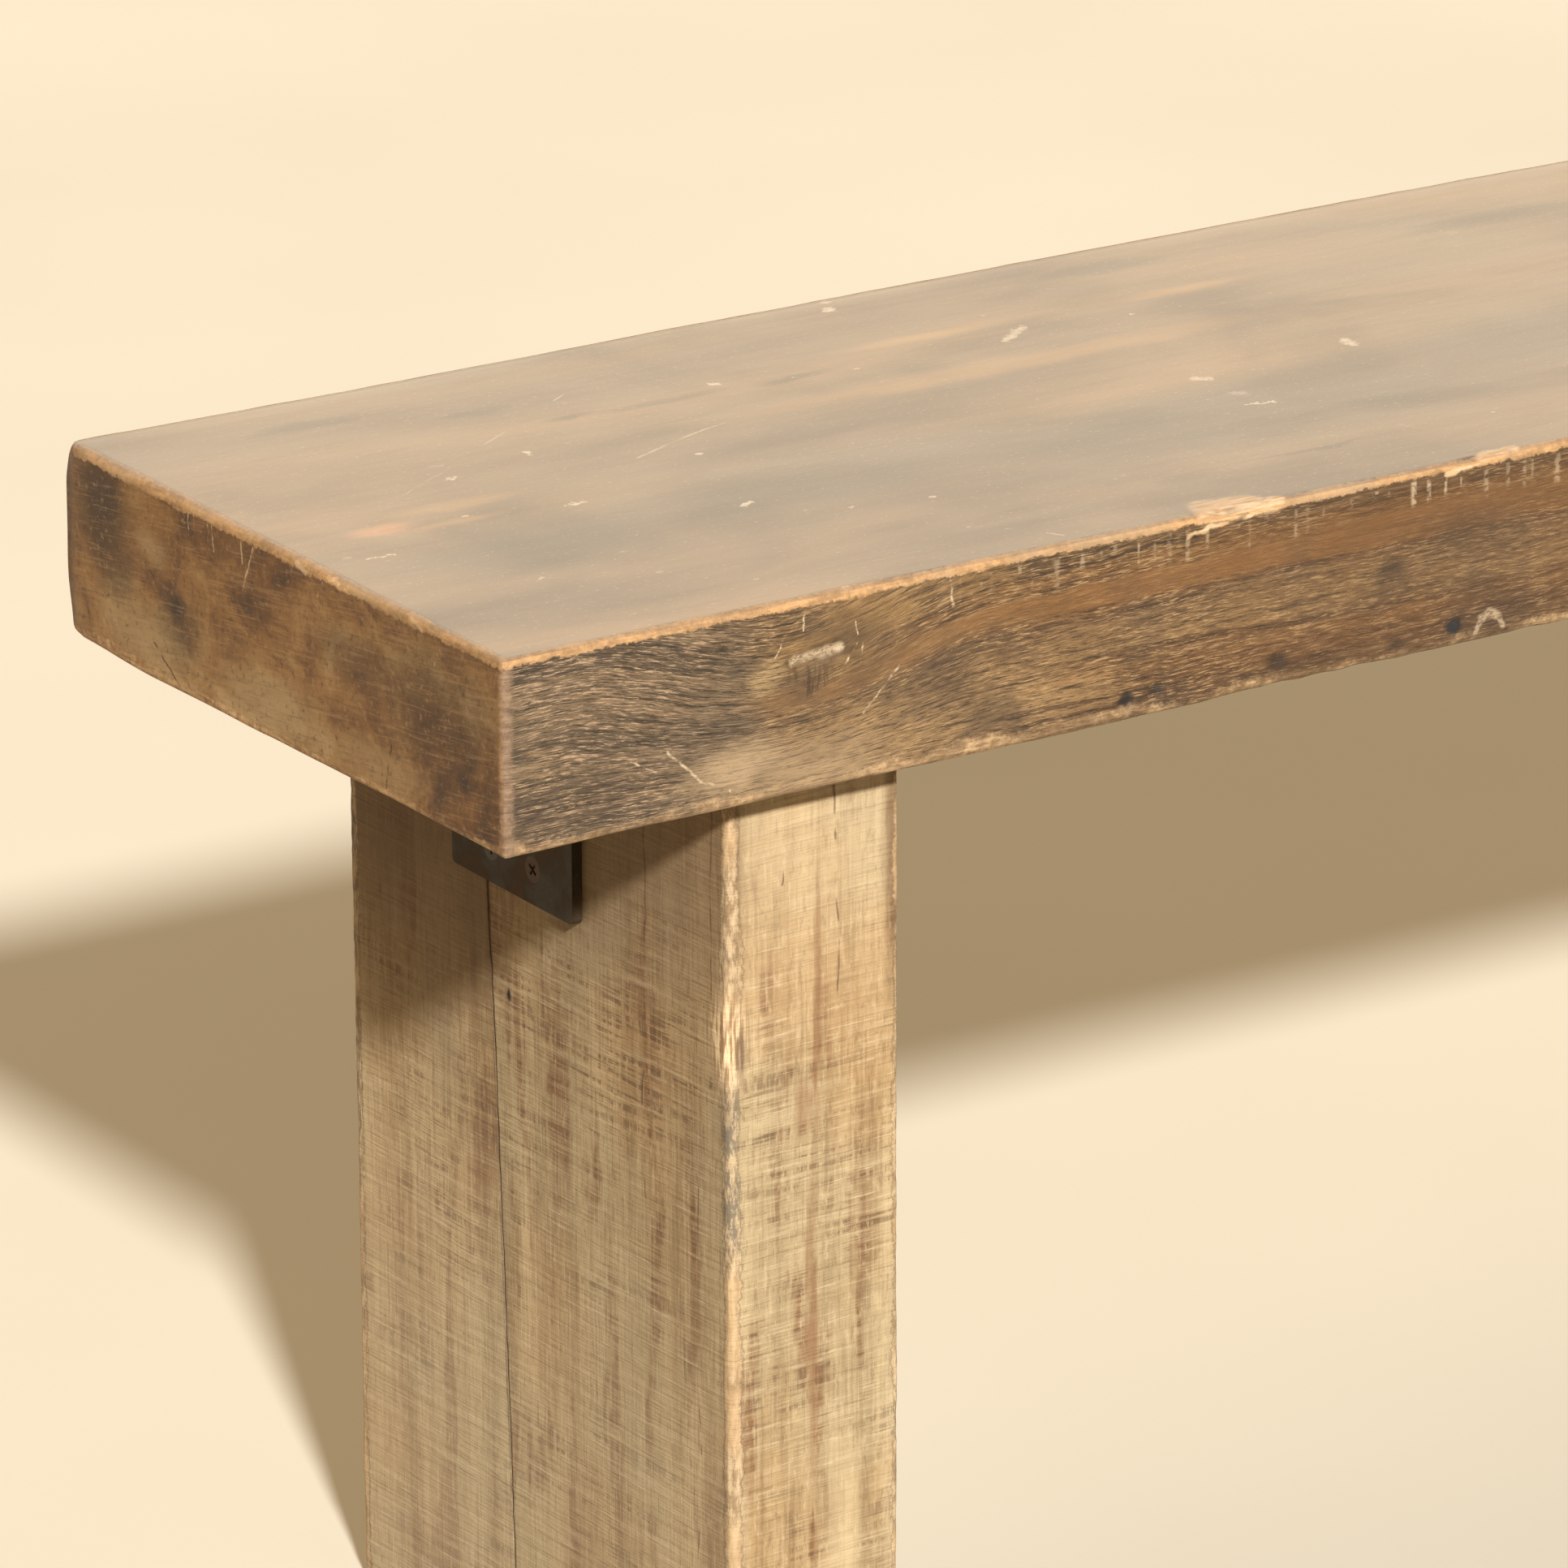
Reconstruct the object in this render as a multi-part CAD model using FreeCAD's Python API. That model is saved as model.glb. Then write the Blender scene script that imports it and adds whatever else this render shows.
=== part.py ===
import FreeCAD, Part
import os

# Backless bench of heavy old timber, in millimetres.
# A thick plank seat stands on two slab legs. Each leg is two boards, glued edge to edge over
# dowels, and is held to the seat by a steel angle bracket on each of its two broad faces.
# Frame: +X runs along the seat, +Y to the back, +Z up. The origin is on the ground, under
# the middle of the seat.

V = FreeCAD.Vector

# Seat plank
SEAT_LENGTH = 1500.0
SEAT_WIDTH = 295.0
SEAT_THICKNESS = 70.0
SEAT_ARRIS = 3.0            # wear radius along the edges
SEAT_CORNER = 5.0           # wear radius of the four upright corners

# Slab legs
LEG_HEIGHT = 385.0
LEG_THICKNESS = 70.0        # along X
LEG_WIDTH = 252.0           # along Y
LEG_INSET = 101.0           # from the end of the seat to the outer face of the leg
LEG_ARRIS = 4.0             # wear radius of the upright edges
FOOT_ARRIS = 2.5            # wear bevel round the foot
BACK_BOARD_TOP = 92.0       # width of the back board where it meets the seat
BACK_BOARD_FOOT = 110.0     # width of the back board at the ground

# Dowels across the glue line of each leg
DOWEL_DIAMETER = 12.0
DOWEL_LENGTH = 80.0
DOWEL_BEVEL = 1.0
DOWEL_COUNT = 4
DOWEL_END_MARGIN = 55.0     # from the foot and from the seat to the nearest dowel

# Steel angle brackets
BRACKET_WIDTH = 80.0        # along Y
BRACKET_FLANGE = 77.0       # outside length of each flange
BRACKET_THICKNESS = 4.0
BRACKET_ROOT_RADIUS = 3.0   # inside the bend
BRACKET_HEEL_RADIUS = 5.0   # outside the bend
BRACKET_TIP_RADIUS = 2.0    # corners of the flanges
BRACKET_SHIFT = 7.0         # from the middle of the seat towards the back
HOLE_SPREAD = 14.0          # from the middle of the bracket to each column of screws
HOLE_FROM_TIP = 13.0        # from the tip of the flange to the outer row of screws
HOLE_FROM_HEEL = 26.0       # from the heel of the bracket to the inner row of screws

# Countersunk cross-recess wood screws
SCREW_HEAD_DIAMETER = 9.6
SCREW_SHANK_DIAMETER = 5.0
SCREW_LENGTH = 32.0         # under 35 mm, so that screws from both faces clear each other
SCREW_TIP = 5.0
RECESS_SPAN = 5.2
RECESS_SLOT = 1.1
RECESS_DEPTH = 1.7
SCREW_SPIN_FIRST = 25.0     # how far each cross is turned, in degrees
SCREW_SPIN_STEP = 40.0

# Broken old nails in the front face of the seat: distance from the left end, height over
# the seat's underside
NAIL_DIAMETER = 4.0
NAIL_LENGTH = 28.0
NAIL_TIP = 6.0
NAIL_SUNK = 0.4             # the broken end lies just under the surface
NAILS = [(390.0, 9.6), (1128.0, 47.0), (1263.0, 22.0)]


def box(size_x, size_y, size_z, corner):
    return Part.makeBox(size_x, size_y, size_z, corner)


def edges_along(shape, axis):
    """Straight edges that run along one axis: 0, 1 or 2."""
    found = []
    for edge in shape.Edges:
        run = edge.Vertexes[-1].Point - edge.Vertexes[0].Point
        if run.Length > 0 and abs(run[axis]) > 0.999 * run.Length:
            found.append(edge)
    return found


def make_screw():
    """A screw with its head's face at the origin, pointing down -Z."""
    radius = SCREW_SHANK_DIAMETER / 2
    head_radius = SCREW_HEAD_DIAMETER / 2
    head_depth = head_radius - radius
    outline = Part.makePolygon([
        V(0, 0, 0),
        V(head_radius, 0, 0),
        V(radius, 0, -head_depth),
        V(radius, 0, SCREW_TIP - SCREW_LENGTH),
        V(0, 0, -SCREW_LENGTH),
        V(0, 0, 0),
    ])
    return Part.Face(outline).revolve(V(0, 0, 0), V(0, 0, 1), 360)


def cut_recess(screw):
    """The cross in the head, which the driver enters."""
    for size_x, size_y in ((RECESS_SPAN, RECESS_SLOT), (RECESS_SLOT, RECESS_SPAN)):
        corner = V(-size_x / 2, -size_y / 2, -RECESS_DEPTH)
        screw = screw.cut(box(size_x, size_y, 2 * RECESS_DEPTH, corner))
    return screw


def place(shape, point, direction, spin=0.0):
    """A copy whose own -Z points along direction, with its origin at point."""
    turn = FreeCAD.Rotation(V(0, 0, -1), direction)
    turn = turn.multiply(FreeCAD.Rotation(V(0, 0, 1), spin))
    moved = shape.copy()
    moved.Placement = FreeCAD.Placement(point, turn)
    return moved


def make_bracket():
    """An angle whose heel is at the origin: flanges along +X and -Z, mid-width at Y = 0."""
    span = BRACKET_FLANGE
    gauge = BRACKET_THICKNESS
    half = BRACKET_WIDTH / 2
    outline = Part.makePolygon([
        V(0, -half, 0),
        V(span, -half, 0),
        V(span, -half, -gauge),
        V(gauge, -half, -gauge),
        V(gauge, -half, -span),
        V(0, -half, -span),
        V(0, -half, 0),
    ])
    angle = Part.Face(outline).extrude(V(0, BRACKET_WIDTH, 0))
    heel = [e for e in edges_along(angle, 1) if e.CenterOfMass.x < 1 and e.CenterOfMass.z > -1]
    angle = angle.makeFillet(BRACKET_HEEL_RADIUS, heel)
    root = [
        e for e in edges_along(angle, 1)
        if abs(e.CenterOfMass.x - gauge) < 0.1 and abs(e.CenterOfMass.z + gauge) < 0.1
    ]
    angle = angle.makeFillet(BRACKET_ROOT_RADIUS, root)
    tips = [e for e in edges_along(angle, 0) if e.CenterOfMass.z < 1 - span]
    tips += [e for e in edges_along(angle, 2) if e.CenterOfMass.x > span - 1]
    return angle.makeFillet(BRACKET_TIP_RADIUS, tips)


def bracket_screw_places():
    """Where the eight screws of make_bracket() enter: the leg's four, then the seat's four."""
    gauge = BRACKET_THICKNESS
    steps = (HOLE_FROM_HEEL, BRACKET_FLANGE - HOLE_FROM_TIP)
    columns = (-HOLE_SPREAD, HOLE_SPREAD)
    in_leg = [(V(gauge, y, -step), V(-1, 0, 0)) for step in steps for y in columns]
    in_seat = [(V(step, y, -gauge), V(0, 0, 1)) for step in steps for y in columns]
    return in_leg, in_seat


def make_leg_boards():
    """The two boards of a leg whose middle is over the origin, before any hole is cut."""
    slab = box(LEG_THICKNESS, LEG_WIDTH, LEG_HEIGHT, V(-LEG_THICKNESS / 2, -LEG_WIDTH / 2, 0))
    slab = slab.makeFillet(LEG_ARRIS, edges_along(slab, 2))
    foot = [e for e in slab.Edges if e.BoundBox.ZMax < 0.01]
    slab = slab.makeChamfer(FOOT_ARRIS, foot)
    back = LEG_WIDTH / 2
    reach = LEG_THICKNESS
    seam = Part.makePolygon([
        V(-reach, back - BACK_BOARD_FOOT, 0),
        V(-reach, back - BACK_BOARD_TOP, LEG_HEIGHT),
        V(-reach, back, LEG_HEIGHT),
        V(-reach, back, 0),
        V(-reach, back - BACK_BOARD_FOOT, 0),
    ])
    back_half = Part.Face(seam).extrude(V(2 * reach, 0, 0))
    return slab.cut(back_half), slab.common(back_half)


def make_dowels():
    """The dowels across the glue line, one above the other."""
    radius = DOWEL_DIAMETER / 2
    first = DOWEL_END_MARGIN
    step = (LEG_HEIGHT - 2 * DOWEL_END_MARGIN) / (DOWEL_COUNT - 1)
    dowels = []
    for index in range(DOWEL_COUNT):
        height = first + index * step
        lean = (BACK_BOARD_FOOT - BACK_BOARD_TOP) * height / LEG_HEIGHT
        seam_y = LEG_WIDTH / 2 - BACK_BOARD_FOOT + lean
        start = V(0, seam_y - DOWEL_LENGTH / 2, height)
        dowel = Part.makeCylinder(radius, DOWEL_LENGTH, start, V(0, 1, 0))
        rims = [e for e in dowel.Edges if isinstance(e.Curve, Part.Circle)]
        dowels.append(dowel.makeChamfer(DOWEL_BEVEL, rims))
    return dowels


def make_nail():
    """A broken nail with its flat end at the origin, pointing down -Z."""
    radius = NAIL_DIAMETER / 2
    shank = Part.makeCylinder(radius, NAIL_LENGTH - NAIL_TIP, V(0, 0, NAIL_TIP - NAIL_LENGTH))
    point = Part.makeCone(0, radius, NAIL_TIP, V(0, 0, -NAIL_LENGTH))
    return shank.fuse(point).removeSplitter()


def make_seat():
    """The plank, with worn edges."""
    corner = V(-SEAT_LENGTH / 2, -SEAT_WIDTH / 2, LEG_HEIGHT)
    plank = box(SEAT_LENGTH, SEAT_WIDTH, SEAT_THICKNESS, corner)
    plank = plank.makeFillet(SEAT_CORNER, edges_along(plank, 2))
    level = [e for e in plank.Edges if e.BoundBox.ZLength < 0.01]
    return plank.makeFillet(SEAT_ARRIS, level)


def moved_to(shape, mirrored, offset):
    """A copy moved along by offset, turned half a turn about the upright axis if mirrored."""
    moved = shape.copy()
    if mirrored:
        moved.rotate(V(0, 0, 0), V(0, 0, 1), 180)
    moved.translate(offset)
    return moved


def cut_all(shape, tools):
    for tool in tools:
        shape = shape.cut(tool)
    return shape


def placed_screws(screw, heel, mirrored):
    """A bracket's screws where they sit: a list for the leg and a list for the seat."""
    groups = []
    for places in bracket_screw_places():
        group = []
        for index, (point, direction) in enumerate(places):
            spin = SCREW_SPIN_FIRST + SCREW_SPIN_STEP * index
            group.append(moved_to(place(screw, point, direction, spin), mirrored, heel))
        groups.append(group)
    return groups


def build():
    """Every piece of the bench, by name."""
    pieces = {}
    seat = make_seat()

    nails = []
    nail_mouths = []
    inward = V(0, 1, 0)
    for distance, height in NAILS:
        surface = V(distance - SEAT_LENGTH / 2, -SEAT_WIDTH / 2, LEG_HEIGHT + height)
        sunk = inward * NAIL_SUNK
        nails.append(place(make_nail(), surface + sunk, inward))
        nail_mouths.append(
            Part.makeCylinder(NAIL_DIAMETER / 2, 2 * NAIL_SUNK, surface - sunk, inward))
    seat = cut_all(seat, nails + nail_mouths)
    pieces["old_nails"] = Part.makeCompound(nails)

    plain_bracket = make_bracket()
    plain_screw = make_screw()
    crossed_screw = cut_recess(plain_screw)
    leg_centre = SEAT_LENGTH / 2 - LEG_INSET - LEG_THICKNESS / 2
    for side, sign in (("left", -1), ("right", 1)):
        centre = V(sign * leg_centre, 0, 0)
        boards = [moved_to(board, False, centre) for board in make_leg_boards()]
        dowels = [moved_to(dowel, False, centre) for dowel in make_dowels()]
        for face, outward in (("outer", sign), ("inner", -sign)):
            heel = centre + V(outward * LEG_THICKNESS / 2, BRACKET_SHIFT, LEG_HEIGHT)
            mirrored = outward < 0
            in_leg, in_seat = placed_screws(plain_screw, heel, mirrored)
            boards = [cut_all(board, in_leg) for board in boards]
            seat = cut_all(seat, in_seat)
            bracket = cut_all(moved_to(plain_bracket, mirrored, heel), in_leg + in_seat)
            in_leg, in_seat = placed_screws(crossed_screw, heel, mirrored)
            name = f"{side}_{face}_bracket"
            pieces[name] = bracket
            pieces[f"{name}_leg_screws"] = Part.makeCompound(in_leg)
            pieces[f"{name}_seat_screws"] = Part.makeCompound(in_seat)
        pieces[f"{side}_leg_front_board"] = cut_all(boards[0], dowels)
        pieces[f"{side}_leg_back_board"] = cut_all(boards[1], dowels)
        pieces[f"{side}_leg_dowels"] = Part.makeCompound(dowels)
    pieces["seat_plank"] = seat
    return pieces


def main():
    os.makedirs("parts", exist_ok=True)
    for name, shape in build().items():
        assert shape.isValid(), name
        shape.exportStep(f"parts/{name}.step")
        box_of = shape.BoundBox
        print(f"{name}: {len(shape.Solids)} solid(s), {shape.Volume / 1000:.2f} cm3,",
              f"{box_of.XLength:.1f} x {box_of.YLength:.1f} x {box_of.ZLength:.1f} mm")


main()
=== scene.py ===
import math

import bpy
import numpy as np
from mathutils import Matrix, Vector


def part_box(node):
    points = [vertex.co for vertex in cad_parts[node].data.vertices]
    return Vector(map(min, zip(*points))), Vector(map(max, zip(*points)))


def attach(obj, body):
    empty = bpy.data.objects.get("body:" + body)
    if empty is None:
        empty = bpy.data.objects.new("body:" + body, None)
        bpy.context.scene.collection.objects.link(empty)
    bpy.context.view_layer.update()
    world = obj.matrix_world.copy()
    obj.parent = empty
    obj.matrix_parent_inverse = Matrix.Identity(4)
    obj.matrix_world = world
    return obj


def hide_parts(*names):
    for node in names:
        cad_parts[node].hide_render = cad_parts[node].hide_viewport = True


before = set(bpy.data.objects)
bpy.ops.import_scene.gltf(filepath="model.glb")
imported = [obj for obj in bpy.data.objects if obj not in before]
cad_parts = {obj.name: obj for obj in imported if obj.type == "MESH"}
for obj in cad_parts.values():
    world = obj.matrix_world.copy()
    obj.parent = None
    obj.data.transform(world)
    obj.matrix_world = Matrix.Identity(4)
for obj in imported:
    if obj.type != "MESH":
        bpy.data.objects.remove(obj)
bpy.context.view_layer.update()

# A backless bench of old timber: a varnished plank seat, worn through along its edges, on
# two legs of raw sawn boards, with steel brackets. Metres, in the frame of the CAD model.
# The plank and the boards are replaced by worn meshes. The metal keeps its CAD shape.

MM = 0.001
SEAT_LENGTH = 1500           # millimetres

SEAT_LOW, SEAT_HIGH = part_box("seat_plank")
NEAR_TOP = Vector((SEAT_LOW.x, SEAT_LOW.y, SEAT_HIGH.z))     # the seat corner nearest the camera


def on_seat(along, across, below):
    """A point given in millimetres from the seat's near top corner."""
    return NEAR_TOP + Vector((along, across, -below)) * MM


# Two measures on a face of the seat, and a third across it, in the order on_seat takes them.

def on_top(along, across, below):
    return along, across, below


def on_side(along, below, across):
    return along, across, below


def on_end(across, below, along):
    return along, across, below


# ---------------------------------------------------------------- smooth random fields

def lattice(cell, seed):
    """A repeatable number from 0 to 1 for each whole-number point."""
    mixed = cell[:, 0] * 73856093 ^ cell[:, 1] * 19349663 ^ cell[:, 2] * 83492791
    mixed = (mixed ^ (seed * 2654435761)) & 0xFFFFFFFF
    mixed = ((mixed ^ (mixed >> 15)) * 2246822519) & 0xFFFFFFFF
    mixed = ((mixed ^ (mixed >> 13)) * 3266489917) & 0xFFFFFFFF
    return ((mixed ^ (mixed >> 16)) & 0xFFFFFF) / float(0xFFFFFF)


def lumps(points, per_metre, seed):
    """Smooth noise from -1 to 1, with so many lumps per metre along X, Y and Z."""
    spot = points * np.asarray(per_metre, float)
    cell = np.floor(spot).astype(np.int64)
    part = spot - cell
    part = part * part * (3 - 2 * part)
    total = np.zeros(len(points))
    for corner in np.ndindex(2, 2, 2):
        weight = np.ones(len(points))
        for axis, high in enumerate(corner):
            weight *= part[:, axis] if high else 1 - part[:, axis]
        total += weight * lattice(cell + corner, seed)
    return 2 * total - 1


def bell(value, centre, width):
    """1 at centre, falling to almost 0 two widths away."""
    return np.exp(-((value - centre) / width) ** 2)


def step_up(value, start, end):
    """0 before start, 1 after end, smooth between."""
    part = np.clip((value - start) / (end - start), 0, 1)
    return part * part * (3 - 2 * part)


def between(value, start, full, falling, end):
    """0 before start and after end, 1 from full to falling."""
    return step_up(value, start, full) * step_up(value, end, falling)


# ---------------------------------------------------------------- worn timber blocks

def cuts(low, high, coarse, fine, margin, zones=()):
    """Places to cut an axis: fine within margin of both ends and in the zones."""
    marks = [low]
    while marks[-1] < high:
        at = marks[-1]
        dense = min(at - low, high - at) < margin or any(a <= at <= b for a, b in zones)
        marks.append(at + (fine if dense else coarse))
    marks = np.array(marks)
    return low + (marks - low) * (high - low) / (marks[-1] - low)


def block_grid(xs, ys, zs):
    """Points and quads of a box's surface, cut at the given places, and each quad's side.

    The sides are 0 to 5: low X, high X, low Y, high Y, low Z, high Z."""
    shape = (len(xs), len(ys), len(zs))
    ids = np.arange(np.prod(shape)).reshape(shape)
    sheets = (ids[0].T, ids[-1], ids[:, 0], ids[:, -1].T, ids[:, :, 0].T, ids[:, :, -1])
    quads, sides = [], []
    for side, sheet in enumerate(sheets):
        corners = (sheet[:-1, :-1], sheet[1:, :-1], sheet[1:, 1:], sheet[:-1, 1:])
        quads.append(np.stack(corners, -1).reshape(-1, 4))
        sides.append(np.full(len(quads[-1]), side))
    used, flat = np.unique(np.concatenate(quads), return_inverse=True)
    i, j, k = np.unravel_index(used, shape)
    points = np.stack([xs[i], ys[j], zs[k]], -1)
    return points, flat.reshape(-1, 4), np.concatenate(sides)


def round_edges(points, low, high, radius):
    """Box points moved onto a box with rounded edges, and the outward directions."""
    radius = radius[:, None]
    inner = np.clip(points, low + radius, high - radius)
    out = points - inner
    out /= np.maximum(np.linalg.norm(out, axis=1, keepdims=True), 1e-9)
    return inner + out * radius, out


def shave(points, edge, normal, depth):
    """Cuts an edge back by depth, to a plane with that outward normal through the edge."""
    normal = np.asarray(normal, float)
    normal = normal / np.linalg.norm(normal)
    over = (points - edge) @ normal + depth
    return points - np.clip(over, 0, None)[:, None] * normal


def make_piece(name, points, quads, sides, materials, node):
    """A smooth-shaded mesh that replaces a CAD node. materials holds one for each side."""
    mesh = bpy.data.meshes.new(name)
    mesh.from_pydata(points.tolist(), [], quads.tolist())
    used = list(dict.fromkeys(materials))
    for material in used:
        mesh.materials.append(material)
    slots = np.array([used.index(material) for material in materials])
    mesh.polygons.foreach_set("material_index", slots[sides])
    mesh.polygons.foreach_set("use_smooth", np.ones(len(quads), bool))
    mesh.update()
    piece = bpy.data.objects.new(name, mesh)
    bpy.context.scene.collection.objects.link(piece)
    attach(piece, "root")
    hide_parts(node)


# ---------------------------------------------------------------- materials


class Value:
    """A number or colour that a node gives. Sums with it add more nodes to its paint."""

    def __init__(self, paint, socket):
        self.paint, self.socket = paint, socket

    def __add__(self, other):
        return self.paint.math("ADD", self, other)

    def __radd__(self, other):
        return self.paint.math("ADD", other, self)

    def __sub__(self, other):
        return self.paint.math("SUBTRACT", self, other)

    def __rsub__(self, other):
        return self.paint.math("SUBTRACT", other, self)

    def __mul__(self, other):
        return self.paint.math("MULTIPLY", self, other)

    def __truediv__(self, other):
        return self.paint.math("DIVIDE", self, other)

    def __abs__(self):
        return self.paint.math("ABSOLUTE", self)

    def smooth(self, start, end, low=0, high=1):
        """low where this is start, high where it is end, smooth between."""
        made = self.paint.node("ShaderNodeMapRange", interpolation_type="SMOOTHSTEP")
        for key, given in zip(("Value", "From Min", "From Max", "To Min", "To Max"),
                              (self, start, end, low, high)):
            self.paint.put(given, made.inputs[key])
        return Value(self.paint, made.outputs["Result"])

    def bell(self, centre, width):
        """1 at centre, falling to 0 one width away."""
        return abs(self - centre).smooth(0, width, 1, 0)

    def weakened(self, strength):
        """This times the strength, which is a list of one number or of none."""
        return self * strength[0] if strength else self

    def centred(self, reach):
        """A noise turned into an offset from about -reach to reach."""
        return (self - 0.5) * (2 * reach)


class Paint:
    """A material built up in layers: colour holds what is laid so far. Lengths are in metres."""

    def __init__(self, name):
        self.material = bpy.data.materials.new(name)
        self.material.use_nodes = True
        self.tree = self.material.node_tree
        self.shader = self.tree.nodes["Principled BSDF"]
        self.colour = None
        self.place = Value(self, self.node("ShaderNodeTexCoord").outputs["Object"])
        self.x, self.y, self.z = self.parts("ShaderNodeSeparateXYZ", self.place)

    def put(self, value, socket):
        """Links what a node gives, or sets a plain value."""
        if isinstance(value, Value):
            self.tree.links.new(value.socket, socket)
        elif socket.type == "RGBA":
            socket.default_value = (*value, 1)
        else:
            socket.default_value = value

    def node(self, kind, *values, **settings):
        """Adds a node. values fill its first inputs in order."""
        made = self.tree.nodes.new(kind)
        for key, value in settings.items():
            setattr(made, key, value)
        for value, socket in zip(values, made.inputs):
            self.put(value, socket)
        return made

    def parts(self, kind, value):
        """The three parts of a place or a colour."""
        return [Value(self, socket) for socket in self.node(kind, value).outputs]

    def math(self, operation, *values, clamp=False):
        made = self.node("ShaderNodeMath", *values, operation=operation, use_clamp=clamp)
        return Value(self, made.outputs[0])

    def vector(self, operation, *values, gives=0):
        made = self.node("ShaderNodeVectorMath", *values, operation=operation)
        return Value(self, made.outputs[gives])

    def join(self, x, y, z):
        return Value(self, self.node("ShaderNodeCombineXYZ", x, y, z).outputs[0])

    def texture(self, kind, place, per_metre, offset=(0, 0, 0), **settings):
        """A texture node with so many lumps per metre: one number, or one for each axis."""
        per_metre = per_metre if isinstance(per_metre, tuple) else (per_metre,) * 3
        mapped = self.node("ShaderNodeMapping", place)
        mapped.inputs["Location"].default_value = offset
        mapped.inputs["Scale"].default_value = per_metre
        made = self.node(kind)
        self.put(Value(self, mapped.outputs[0]), made.inputs["Vector"])
        for key, value in {"Scale": 1, **settings}.items():
            made.inputs[key].default_value = value
        return made.outputs

    def noise(self, per_metre, detail, rough, seed, place=None, twist=0):
        """Noise around 0.5, with so many lumps per metre."""
        offset = (seed * 3.7, seed * 5.3, seed * 7.1)
        made = self.texture("ShaderNodeTexNoise", place or self.place, per_metre, offset,
                            Detail=detail, Roughness=rough, Distortion=twist)
        return Value(self, made["Fac"])

    def shaken(self, per_metre, reach):
        """Places moved a little by noise, which makes straight marks ragged."""
        made = self.texture("ShaderNodeTexNoise", self.place, per_metre, Detail=2)
        half = self.vector("SUBTRACT", Value(self, made["Color"]), (0.5, 0.5, 0.5))
        return self.vector("ADD", self.place, self.vector("MULTIPLY", half, (2 * reach,) * 3))

    def ramp(self, value, *stops):
        """Colours along a value: (position, colour) pairs."""
        made = self.node("ShaderNodeValToRGB", value)
        band = made.color_ramp
        while len(band.elements) < len(stops):
            band.elements.new(0.5)
        for element, (position, colour) in zip(band.elements, stops):
            element.position = position
            element.color = (*colour, 1)
        return Value(self, made.outputs["Color"])

    def blend(self, factor, first, second, mode="MIX"):
        made = self.node("ShaderNodeMix", data_type="RGBA", blend_type=mode)
        self.put(factor, made.inputs[0])
        self.put(first, made.inputs[6])
        self.put(second, made.inputs[7])
        return Value(self, made.outputs[2])

    def lay(self, factor, colour):
        """Lays a colour over the others, as thickly as factor says."""
        self.colour = self.blend(factor, self.colour, colour)

    def spot(self, centre, reach, place):
        """1 at a point, falling to 0 at reach: one reach, or one for each axis."""
        offset = self.vector("SUBTRACT", place, tuple(centre))
        reach = reach if isinstance(reach, tuple) else (reach,) * 3
        scaled = self.vector("MULTIPLY", offset, tuple(1 / r for r in reach))
        return self.vector("LENGTH", scaled, gives="Value").smooth(0.25, 1, 1, 0)

    def stroke(self, start, end, width, place):
        """1 along a straight line from start to end, falling to 0 at width from it."""
        start, end = Vector(start), Vector(end)
        run = end - start
        offset = self.vector("SUBTRACT", place, tuple(start))
        share = self.vector("DOT_PRODUCT", offset, tuple(run / run.length_squared), gives="Value")
        nearest = self.node("ShaderNodeVectorMath", tuple(run), operation="SCALE")
        self.put(self.math("ADD", share, 0, clamp=True), nearest.inputs["Scale"])
        apart = self.vector("DISTANCE", offset, Value(self, nearest.outputs[0]), gives="Value")
        return apart.smooth(0.3 * width, width, 1, 0)

    def most(self, values):
        total = values[0]
        for value in values[1:]:
            total = self.math("MAXIMUM", total, value)
        return total

    def spots(self, face, deep, place, *rows, at=0):
        """The most of many spots on a face of the seat, deep millimetres into it.

        Each row: centre and reach along the face's two axes, and perhaps a strength."""
        marks = []
        for u, v, reach_u, reach_v, *strength in rows:
            reach = tuple(length * MM for length in face(reach_u, reach_v, deep))
            mark = self.spot(on_seat(*face(u, v, at)), reach, place)
            marks.append(mark.weakened(strength))
        return self.most(marks)

    def strokes(self, face, place, *rows, at=0):
        """The most of many strokes on a face of the seat.

        Each row: start and end along the face's two axes, width, and perhaps a strength."""
        marks = []
        for u, v, end_u, end_v, width, *strength in rows:
            start, end = on_seat(*face(u, v, at)), on_seat(*face(end_u, end_v, at))
            mark = self.stroke(start, end, width * MM, place)
            marks.append(mark.weakened(strength))
        return self.most(marks)

    def finish(self, roughness, height, depth, tone=(1, 1, 1), **constants):
        """Fills in the shader. height is a relief from 0 to 1 that stands depth metres high."""
        colour = self.blend(1, self.colour, tone, "MULTIPLY")
        self.put(colour, self.shader.inputs["Base Color"])
        self.put(roughness, self.shader.inputs["Roughness"])
        bump = self.node("ShaderNodeBump")
        bump.inputs["Strength"].default_value = 1
        bump.inputs["Distance"].default_value = depth
        self.put(height, bump.inputs["Height"])
        self.put(Value(self, bump.outputs[0]), self.shader.inputs["Normal"])
        for key, value in constants.items():
            self.shader.inputs[key.replace("_", " ")].default_value = value
        return self.material


def seat_distances(paint):
    """How far a point is from the seat's top, underside, nearer side and nearer end."""
    top = SEAT_HIGH.z - paint.z
    under = paint.z - SEAT_LOW.z
    side = paint.math("MINIMUM", paint.y - SEAT_LOW.y, SEAT_HIGH.y - paint.y)
    end = paint.math("MINIMUM", paint.x - SEAT_LOW.x, SEAT_HIGH.x - paint.x)
    return top, under, side, end


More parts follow.
